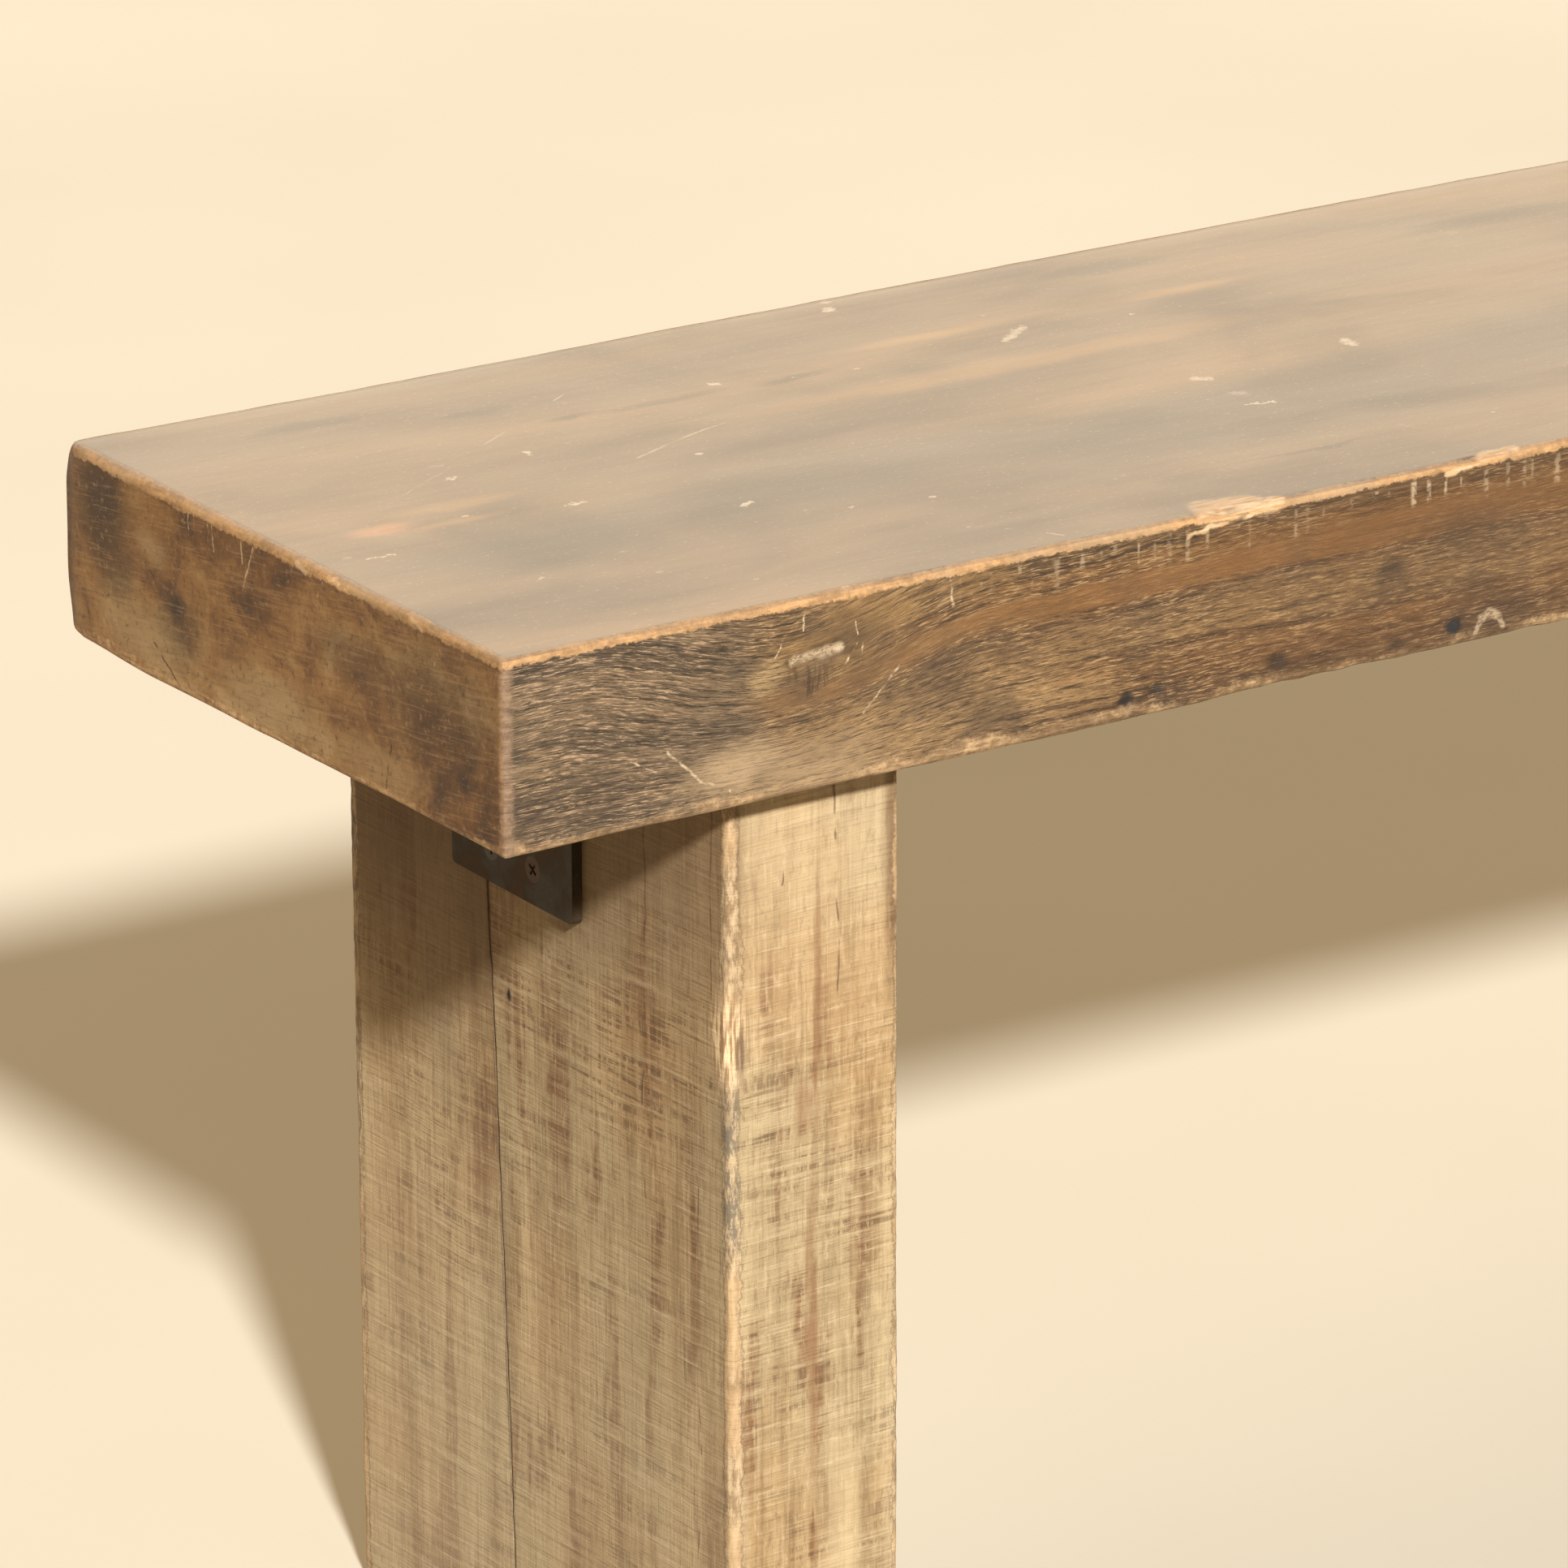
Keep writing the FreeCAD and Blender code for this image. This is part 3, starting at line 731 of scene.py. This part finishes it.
def leg_wood(name, low, high, seam_foot, seam_head, seed, back_board):
    """Raw weathered boards: upright grain crossed by rows of saw marks, with worn edges."""
    paint = Paint(name)
    lengthwise = paint.noise((60, 60, 4), 4, 0.65, seed=seed)
    stain = paint.noise((52, 52, 8), 4, 0.62, seed=seed + 1, twist=0.25)
    tone = paint.noise((13, 13, 9), 3, 0.55, seed=seed + 2)
    fibre = paint.noise((800, 800, 22), 3, 0.65, seed=seed + 3)
    columns = paint.noise((380, 380, 45), 3, 0.65, seed=seed + 10)
    # The saw marks lie almost level and lean a little. They come in groups.
    lean = (paint.z + paint.y * 0.035 + paint.x * -0.03
            + paint.noise((9, 9, 3), 1, 0.5, seed=seed + 4).centred(2.5 * MM))
    flow = paint.join(paint.x, paint.y, lean)
    rows = paint.noise((16, 16, 330), 4, 0.68, place=flow, seed=seed + 5)
    hair = paint.noise((34, 34, 1100), 3, 0.65, place=flow, seed=seed + 6)
    group = paint.noise((16, 16, 24), 3, 0.6, seed=seed + 7)
    paint.colour = paint.ramp(lengthwise,
        (0.3, (0.225, 0.135, 0.062)), (0.44, (0.365, 0.24, 0.118)), (0.56, (0.46, 0.322, 0.17)),
        (0.72, (0.545, 0.393, 0.218)))
    # Olive in the lighter wood, honey in the darker.
    paint.lay(tone.smooth(0.42, 0.6, 0, 0.55), (0.4, 0.315, 0.185))
    paint.lay(tone.smooth(0.46, 0.32, 0, 0.5), (0.41, 0.25, 0.115))
    brown = stain.smooth(0.52, 0.65)
    combed = rows.smooth(0.36, 0.56, 0.5, 1)
    paint.lay(brown * combed * 0.85, (0.2, 0.09, 0.036))
    # Near the seat the saw marks have weathered away and the upright grain shows.
    sawn = (paint.z + tone.centred(50 * MM)).smooth(305 * MM, 365 * MM, 1, 0.35)
    # Rows of short dark dashes, darkest in the stained wood.
    dash = rows.smooth(0.515, 0.585) * columns.smooth(0.43, 0.56)
    shown = (group + brown * 0.25).smooth(0.44, 0.66, 0.18, 1)
    paint.lay(dash * shown * sawn * 0.75, (0.13, 0.07, 0.033))
    pale = rows.smooth(0.455, 0.375) * group.smooth(0.4, 0.6, 0.2, 1)
    paint.lay(pale * sawn * 0.36, (0.59, 0.46, 0.285))
    line = hair.smooth(0.6, 0.66) * columns.smooth(0.62, 0.4, 0.4, 1)
    paint.lay(line * sawn * 0.42, (0.7, 0.56, 0.37))
    cut = hair.smooth(0.42, 0.34) * sawn * group.smooth(0.36, 0.58, 0.3, 1)
    paint.lay(cut * 0.6, (0.15, 0.095, 0.052))
    paint.lay(fibre.smooth(0.54, 0.64, 0, 0.3), (0.185, 0.115, 0.06))
    paint.lay(fibre.smooth(0.45, 0.36, 0, 0.25), (0.56, 0.435, 0.27))
    fleck = paint.noise((420, 420, 110), 4, 0.75, seed=seed + 8)
    paint.lay(fleck.smooth(0.54, 0.68, 0, 0.4), (0.6, 0.45, 0.27))
    paint.lay(fleck.smooth(0.46, 0.33, 0, 0.45), (0.19, 0.112, 0.055))
    # Painted shade: the broad faces darken towards the seat, standing in for the shade under it,
    # over the darker wood that the seat keeps from the weather.
    first, last, depth = (185, 320, 0.85) if back_board else (225, 365, 0.7)
    painted_seat_shade = (paint.z + tone.centred(60 * MM)).smooth(first * MM, last * MM, 0, depth)
    outer = paint.math("MINIMUM", paint.x - low.x, high.x - paint.x)
    broad_face = outer.smooth(3 * MM, 9 * MM, 1, 0)
    paint.lay(painted_seat_shade * broad_face, (0.17, 0.1, 0.05))
    # Bleached high up on the front and low down on the broad faces.
    high_up = paint.z.smooth(260 * MM, 375 * MM, 0, 0.22)
    low_down = paint.z.smooth(270 * MM, 90 * MM, 0, 0.36 if back_board else 0.24)
    paint.lay(high_up * (1 - broad_face), (0.66, 0.5, 0.32))
    paint.lay(low_down * broad_face, (0.6, 0.475, 0.315))
    # Worn upright edges, but not along the glue line.
    front = paint.y - low.y if not back_board else high.y - paint.y
    inner = min(abs(low.x), abs(high.x))
    inward = abs(paint.x).smooth(inner + 25 * MM, inner + 45 * MM, 1, 0)
    bare = edge_band(paint, front, outer + inward * (2.6 * MM), 5.2 * MM, 0.6)
    tint = paint.blend(fleck.smooth(0.38, 0.62), (0.26, 0.165, 0.085), (0.58, 0.42, 0.255))
    patch = paint.noise((12, 12, 16), 3, 0.55, seed=seed + 9)
    tint = paint.blend(patch.smooth(0.5, 0.6, 0, 0.6), tint, (0.56, 0.36, 0.185))
    grey = patch.smooth(0.47, 0.38) * fleck.smooth(0.45, 0.56, 0.85, 0.1)
    tint = paint.blend(grey, tint, (0.15, 0.128, 0.1))
    paint.lay(bare * 0.85, tint)
    paint.lay(abs(bare - 0.3).smooth(0, 0.28, 0.5, 0), (0.12, 0.08, 0.048))
    # Dirt along the glue line.
    share = paint.z / high.z
    seam = seam_foot + share * (seam_head - seam_foot)
    dirt = abs(paint.y - seam) + fleck.centred(1.2 * MM)
    paint.lay(dirt.smooth(0.3 * MM, 1.4 * MM, 0.7, 0), (0.08, 0.045, 0.024))
    height = rows * -1.4 + hair * 0.4 + fibre * -0.4 + fleck * 0.3
    return paint, height


def finish_leg_wood(paint, height):
    """Dull raw wood, with the saw marks in relief."""
    return paint.finish(0.78, height, 0.45 * MM, (0.7, 0.655, 0.575), Specular_IOR_Level=0.2)


def dark_steel(name, base, rust, seed):
    """Dull dark steel with rust in patches and along the edges."""
    paint = Paint(name)
    cloud = paint.noise(60, 4, 0.6, seed=seed)
    grit = paint.noise(700, 2, 0.6, seed=seed + 1)
    brighter = [1.6 * channel for channel in base]
    paint.colour = paint.ramp(cloud, (0.3, base), (0.55, brighter), (0.75, rust))
    paint.lay(grit.smooth(0.55, 0.75, 0, 0.5), rust)
    rough = cloud.smooth(0.35, 0.7, 0.45, 0.78)
    height = cloud + grit * 0.5
    return paint.finish(rough, height, 0.12 * MM, Metallic=0.15, Specular_IOR_Level=0.12)


def dowel_wood():
    """Plain pale beech."""
    paint = Paint("dowel_beech")
    grain = paint.noise((900, 30, 900), 3, 0.6, seed=71)
    paint.colour = paint.ramp(grain, (0.35, (0.42, 0.27, 0.13)), (0.65, (0.6, 0.43, 0.24)))
    return paint.finish(0.7, grain, 0.1 * MM, Specular_IOR_Level=0.3)


# ---------------------------------------------------------------- the seat

def seat_radius(points):
    """The wear radius of the seat's edges, in metres."""
    radius = 3.4 * MM + 0.7 * MM * lumps(points, (22, 22, 22), 1)
    radius += 0.35 * MM * lumps(points, (90, 90, 90), 2)
    low_edge = step_up(SEAT_HIGH.z - points[:, 2], 50 * MM, 66 * MM)
    from_end = (points[:, 0] - SEAT_LOW.x) / MM
    uneven = 0.8 * MM + 1.2 * MM * lumps(points, (30, 30, 30), 3)
    radius += low_edge * step_up(from_end, 0, 60) * uneven
    back_corner = step_up(points[:, 1], SEAT_HIGH.y - 60 * MM, SEAT_HIGH.y)
    radius += low_edge * step_up(from_end, 60, 0) * (3.8 * back_corner - 0.8) * MM
    upright = bell(points[:, 0], SEAT_LOW.x, 4 * MM) + bell(points[:, 0], SEAT_HIGH.x, 4 * MM)
    upright *= bell(points[:, 1], SEAT_LOW.y, 4 * MM) + bell(points[:, 1], SEAT_HIGH.y, 4 * MM)
    high_up = step_up(points[:, 2], SEAT_HIGH.z - 16 * MM, SEAT_HIGH.z)
    back = step_up(points[:, 1], SEAT_LOW.y, SEAT_HIGH.y)
    return radius + upright * (high_up * back * 4.0 - 0.6) * MM


def make_seat():
    """The plank: rounded and chipped edges, a wavy underside, a gouge, nail pits and dents."""
    zones = [(SEAT_LOW.x, SEAT_LOW.x + 0.46)]
    xs = cuts(SEAT_LOW.x, SEAT_HIGH.x, 4.4 * MM, 1.5 * MM, 9 * MM, zones)
    ys = cuts(SEAT_LOW.y, SEAT_HIGH.y, 8.5 * MM, 0.8 * MM, 6 * MM)
    zs = cuts(SEAT_LOW.z, SEAT_HIGH.z, 2.2 * MM, 0.8 * MM, 6 * MM)
    flat, quads, sides = block_grid(xs, ys, zs)
    low, high = np.array(SEAT_LOW), np.array(SEAT_HIGH)
    points, out = round_edges(flat, low, high, seat_radius(flat))

    along = (points[:, 0] - low[0]) / MM
    across = (points[:, 1] - low[1]) / MM
    below = (high[2] - points[:, 2]) / MM

    # The splintered places of the top front edge.
    front_edge = np.array([0.0, low[1], high[2]])
    ragged = 1 + 0.35 * lumps(points, (160, 5, 160), 4)
    splinter = 1.7 * between(along, 278, 292, 302, 322) * ragged
    splinter += 0.8 * bell(along, 398, 9) * ragged + 0.9 * bell(along, 520, 14) * ragged
    splinter += 1.8 * bell(along, 902, 20) * ragged + 1.2 * bell(along, 1330, 12) * ragged
    points = shave(points, front_edge, (0, -0.55, 0.84), (1.2 + splinter) * MM)
    back_edge = np.array([0.0, high[1], high[2]])
    dents = 1.4 * bell(along, 900, 16) * ragged + 1.4 * bell(along, 1150, 10) * ragged
    points = shave(points, back_edge, (0, 0.6, 0.8), (1.0 + dents) * MM)

    # The front lower edge has worn up between the legs; the underside follows it.
    lift = 1.4 * between(along, 255, 300, 440, 560) + 1.8 * bell(along, 1010, 120)
    lift += 0.3 * lumps(points, (40, 0, 0), 5) + 0.3 * lumps(points, (120, 0, 0), 8)
    free = between(along, 176, 215, 1285, 1324)
    near_front = np.exp(-across / 70.0)
    under = step_up(below, 52, 68)
    points[:, 2] += np.clip(lift, 0, None) * free * near_front * under * MM
    # The overhang is a little thicker at its back corner.
    thicker = 3.2 * np.clip((across - 50) / 240, 0, 1) * step_up(along, 95, 30)
    points[:, 2] -= thicker * under * MM

    # Slow waves in every face, and the marks of use.
    wave = 0.35 * lumps(points, (5, 9, 20), 6) + 0.12 * lumps(points, (45, 45, 45), 7) - 0.35
    wave -= 1.3 * gouge_mask(along, across, below)
    for spot_along, spot_below, size in ((250, 61, 3.2), (262, 60, 2.6), (314, 60, 2.6)):
        pit = bell(along, spot_along, size) * bell(below, spot_below, size)
        wave -= 1.1 * pit * (across < 2.5)
    wave -= 0.5 * bell(along, 41, 9) * bell(across, 143, 6) * (below < 2)
    points += out * (wave * MM)[:, None]
    points = np.clip(points, low - (0, 0, 4 * MM), high)

    side, end, top, under_wood = seat_side(), seat_end(), seat_top(), seat_underside()
    materials = (end, end, side, side, under_wood, top)
    make_piece("seat_plank_worn", points, quads, sides, materials, "seat_plank")


def gouge_mask(along, across, below):
    """The shallow gouge on the front, from 0 to 1."""
    centre = 22.5 - (along - 123.5) * 0.2
    high_enough = between(below - centre, -2.8, -1.6, 1.6, 2.8)
    return between(along, 113, 116, 131, 134) * high_enough * (across < 2.5)


# ---------------------------------------------------------------- the legs

UPRIGHT = (0, 0, 1)         # points times this keep only their height


def make_leg_board(side, board, seed):
    """One board of a leg: worn outer edges, saw-mark relief and a crisp glue line."""
    node = f"{side}_leg_{board}_board"
    low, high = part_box(node)
    front_board = board == "front"
    zs = cuts(low.z, high.z, 1.35 * MM, 0.9 * MM, 4 * MM)
    xs = cuts(low.x, high.x, 4.2 * MM, 0.9 * MM, 8 * MM)
    ys = cuts(low.y, high.y, 4.2 * MM, 0.9 * MM, 8 * MM)
    flat, quads, sides = block_grid(xs, ys, zs)

    # The glue line runs up and back, and wanders a little.
    seam_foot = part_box(f"{side}_leg_back_board")[0].y
    seam_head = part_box(f"{side}_leg_front_board")[1].y
    share = (flat[:, 2] - low.z) / (high.z - low.z)
    seam = seam_foot + (seam_head - seam_foot) * share
    seam += 0.5 * MM * lumps(flat * UPRIGHT, (0, 0, 9), 50)
    seam += 0.25 * MM * lumps(flat * UPRIGHT, (0, 0, 30), 51)

    # Worn radius: large on the outer upright edges, small along the seam.
    to_seam = (high.y - flat[:, 1]) if front_board else (flat[:, 1] - low.y)
    worn = step_up(to_seam, 8 * MM, 20 * MM)
    # The back edges and the inner edge are crisper than the outer front edge.
    inner, outermost = sorted((abs(low.x), abs(high.x)))
    inward = 1 - step_up(np.abs(flat[:, 0]), inner + 20 * MM, outermost - 20 * MM)
    blunt = (1 - 0.5 * inward) if front_board else 0.6
    radius = 0.45 * MM + worn * blunt * (2.8 * MM + 1.1 * MM * lumps(flat, (30, 30, 14), seed)
                                         + 0.5 * MM * lumps(flat, (80, 80, 60), seed + 1))
    radius = np.maximum(radius, 0.35 * MM)
    points, out = round_edges(flat, np.array(low), np.array(high), radius)

    # Waves and wane along the outer upright edges.
    height = (points[:, 2] - low.z) / MM
    outer_y = low.y if front_board else high.y
    away = -1.0 if front_board else 1.0
    for edge_x, tilt in ((low.x, -1.0), (high.x, 1.0)):
        edge = np.array([edge_x, outer_y, 0.0])
        wane = 1.2 + 0.7 * lumps(points * UPRIGHT, (0, 0, 11), seed + 2)
        wane += 0.5 * lumps(points * UPRIGHT, (0, 0, 45), seed + 3)
        if not front_board or tilt * low.x < 0:
            wane -= 1.0
        if front_board and side == "left" and tilt < 0:
            chip = between(height, 268, 280, 300, 318)
            wane += chip * (2.0 + 0.7 * lumps(points, (0, 160, 110), seed + 4))
        if front_board and side == "left" and tilt > 0:
            wane += 0.5 * bell(height, 190, 90)
        points = shave(points, edge, (tilt * 0.72, away * 0.69, 0), wane * MM)

    # Saw marks across every face, crossed by weathered grain.
    lean = points.copy()
    lean[:, 2] += 0.05 * points[:, 1] - 0.04 * points[:, 0]
    relief = 0.13 * lumps(lean, (8, 8, 300), seed + 5)
    relief += 0.09 * lumps(lean, (12, 12, 150), seed + 6)
    grain = 0.14 * lumps(points, (120, 120, 5), seed + 7)
    relief += grain + 0.25 * lumps(points, (12, 12, 7), seed + 8)
    groove = np.clip(lumps(points, (85, 85, 4.5), seed + 9) - 0.55, 0, None)
    relief -= 0.9 * groove + 0.3
    level = np.abs(out[:, 2]) < 0.5
    points += out * (relief * level * MM)[:, None]

    # Shear the whole board so that its seam face follows the glue line.
    seam_box = high.y if front_board else low.y
    shift = seam - seam_box
    follow = 1 - step_up(to_seam, 0, (high.y - low.y) * 0.6)
    points[:, 1] += shift * follow
    points = np.clip(points, low, high)

    paint, relief_map = leg_wood(f"{side}_leg_{board}_wood", low, high, seam_foot, seam_head,
                                         seed * 1.7, not front_board)
    if side == "left" and front_board:
        front_board_marks(paint, low)
    wood = finish_leg_wood(paint, relief_map)
    make_piece(f"{node}_worn", points, quads, sides, (wood,) * 6, node)


def front_board_marks(paint, low):
    """What shows on the left leg's front board: cracks, a red streak, a small hole, a chip, and
    painted shade in the chip's hollow.
    """
    def on_leg(back, up):
        return Vector((low.x, low.y + back * MM, low.z + up * MM))

    def on_face(along, up):
        return Vector((low.x + along * MM, low.y, low.z + up * MM))

    wavy = paint.shaken(34, 3.6 * MM)
    ragged = paint.shaken(240, 1.0 * MM)
    red = paint.most([paint.spot(on_face(34, 180), (0.0035, 0.02, 0.085), wavy) * 0.8,
                      paint.spot(on_face(36, 300), (0.0022, 0.02, 0.07), wavy) * 0.8,
                      paint.spot(on_face(33, 176), (0.0045, 0.02, 0.02), wavy),
                      paint.spot(on_face(31, 262), (0.006, 0.02, 0.018), wavy) * 0.7])
    paint.lay(red * 0.7, (0.215, 0.098, 0.042))
    pale = paint.spot(on_face(46, 60), (0.012, 0.02, 0.11), wavy)
    paint.lay(pale * 0.5, (0.66, 0.5, 0.3))
    cracks = paint.most([
        paint.stroke(face(*start), face(*end), width * MM, wavy) for face, start, end, width in (
            (on_leg, (56, 250), (52, 385), 0.8), (on_leg, (50, 120), (56, 250), 0.6),
            (on_leg, (10, 300), (12, 385), 0.7), (on_face, (22, 345), (23, 385), 0.5),
            (on_face, (45, 300), (43, 385), 0.7), (on_leg, (20, 20), (20, 240), 0.6))])
    hole = paint.spot(on_leg(143, 266), (0.01, 0.0017, 0.0034), ragged)
    scrape = paint.stroke(on_leg(70, 345), on_leg(68, 372), 0.4 * MM, wavy)
    paint.lay(cracks * 0.7, (0.11, 0.058, 0.03))
    paint.lay(hole, (0.012, 0.01, 0.008))
    paint.lay(scrape * 0.6, (0.7, 0.58, 0.42))
    torn = paint.spot(on_leg(3, 292), (0.012, 0.012, 0.026), ragged)
    splinters = paint.noise((700, 700, 70), 2.0, 0.6, seed=91.0)
    torn_wood = paint.blend(splinters.smooth(0.42, 0.58), (0.33, 0.19, 0.09), (0.84, 0.62, 0.38))
    paint.lay(torn * 0.9, torn_wood)
    # Painted shade in the hollow of the torn chip: dark spots laid over the torn wood.
    notch_shade = paint.most([paint.spot(on_face(5.5, 288), (0.0036, 0.006, 0.014), ragged),
                        paint.spot(on_leg(2, 268), (0.005, 0.005, 0.01), ragged) * 0.6])
    paint.lay(notch_shade * 0.6, (0.11, 0.068, 0.04))


# ---------------------------------------------------------------- the metal and the dowels

def give_material(node, material):
    """A CAD node keeps its shape and gets a finish."""
    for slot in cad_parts[node].material_slots:
        slot.link = "OBJECT"
        slot.material = material


def finish_hardware():
    """Steel for the brackets, screws and nails, beech for the dowels."""
    steel = dark_steel("bracket_steel", (0.026, 0.017, 0.008), (0.08, 0.042, 0.02), 61.0)
    screw = dark_steel("screw_steel", (0.052, 0.04, 0.028), (0.11, 0.06, 0.034), 64.0)
    iron = dark_steel("nail_iron", (0.016, 0.015, 0.014), (0.04, 0.024, 0.016), 67.0)
    beech = dowel_wood()
    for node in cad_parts:
        if node.endswith("screws"):
            give_material(node, screw)
        elif node.endswith("bracket"):
            give_material(node, steel)
        elif node.endswith("dowels"):
            give_material(node, beech)
    give_material("old_nails", iron)


# ---------------------------------------------------------------- floor, light and camera

def make_floor():
    """A plain pale floor, which is not part of the bench."""
    bpy.ops.mesh.primitive_plane_add(size=40, location=(0, 0, 0))
    floor = bpy.context.object
    floor.name = "floor"
    paint = Paint("pale_floor")
    cloud = paint.noise((1.3, 1.3, 1.3), 3.0, 0.55, seed=81.0)
    paint.colour = paint.ramp(cloud, (0.3, (0.41, 0.352, 0.264)), (0.7, (0.44, 0.382, 0.29)))
    floor.data.materials.append(paint.finish(0.85, cloud, 0.5 * MM, Specular_IOR_Level=0.15))


def make_light():
    """A key light from the front left, and a soft pale studio that is brightest at the back."""
    sun = bpy.data.lights.new("key", "SUN")
    sun.energy = 8.7
    sun.angle = math.radians(4.0)
    sun.color = (0.94, 1.00, 1.08)
    lamp = bpy.data.objects.new("key", sun)
    azimuth, elevation = math.radians(21.0), math.radians(32.0)
    travel = Vector((math.sin(azimuth) * math.cos(elevation),
                     math.cos(azimuth) * math.cos(elevation), -math.sin(elevation)))
    lamp.rotation_euler = travel.to_track_quat("-Z", "Y").to_euler()
    bpy.context.scene.collection.objects.link(lamp)

    world = bpy.data.worlds.new("studio")
    world.use_nodes = True
    tree = world.node_tree
    ray = tree.nodes.new("ShaderNodeTexCoord").outputs["Generated"]
    towards = tree.nodes.new("ShaderNodeVectorMath")
    towards.operation = "DOT_PRODUCT"
    towards.inputs[1].default_value = Vector((0.48, 0.73, 0.48)).normalized()
    tree.links.new(ray, towards.inputs[0])
    glow = tree.nodes.new("ShaderNodeValToRGB")
    tree.links.new(towards.outputs["Value"], glow.inputs["Fac"])
    stops = ((0.0, 0.1), (0.4, 0.26), (0.72, 1.45), (0.95, 2.6))
    while len(glow.color_ramp.elements) < len(stops):
        glow.color_ramp.elements.new(0.5)
    for element, (position, strength) in zip(glow.color_ramp.elements, stops):
        element.position = position
        element.color = (1.05 * strength, 0.86 * strength, 0.61 * strength, 1.0)
    tree.links.new(glow.outputs["Color"], tree.nodes["Background"].inputs["Color"])
    bpy.context.scene.world = world
    bpy.context.scene.view_settings.view_transform = "Standard"


def make_camera():
    """A long lens that looks along the seat from its left front, close to its left end."""
    camera = bpy.data.cameras.new("camera")
    camera.sensor_width = 36.0
    camera.lens = 208.41615
    camera.clip_end = 60.0
    holder = bpy.data.objects.new("camera", camera)
    holder.location = on_seat(-1456.4, -2395.4, -938.8)
    yaw, pitch, roll = math.radians(33.18), math.radians(19.31), math.radians(-0.21)
    forward = Vector((math.sin(yaw) * math.cos(pitch), math.cos(yaw) * math.cos(pitch),
                      -math.sin(pitch)))
    aim = forward.to_track_quat("-Z", "Y").to_matrix().to_4x4()
    holder.rotation_euler = aim.to_euler()
    holder.rotation_euler.rotate_axis("Z", roll)
    bpy.context.scene.collection.objects.link(holder)
    bpy.context.scene.camera = holder


make_seat()
for side_index, side_name in enumerate(("left", "right")):
    for board_index, board_name in enumerate(("front", "back")):
        make_leg_board(side_name, board_name, 20 + 20 * side_index + 9 * board_index)
finish_hardware()
make_floor()
make_light()
make_camera()
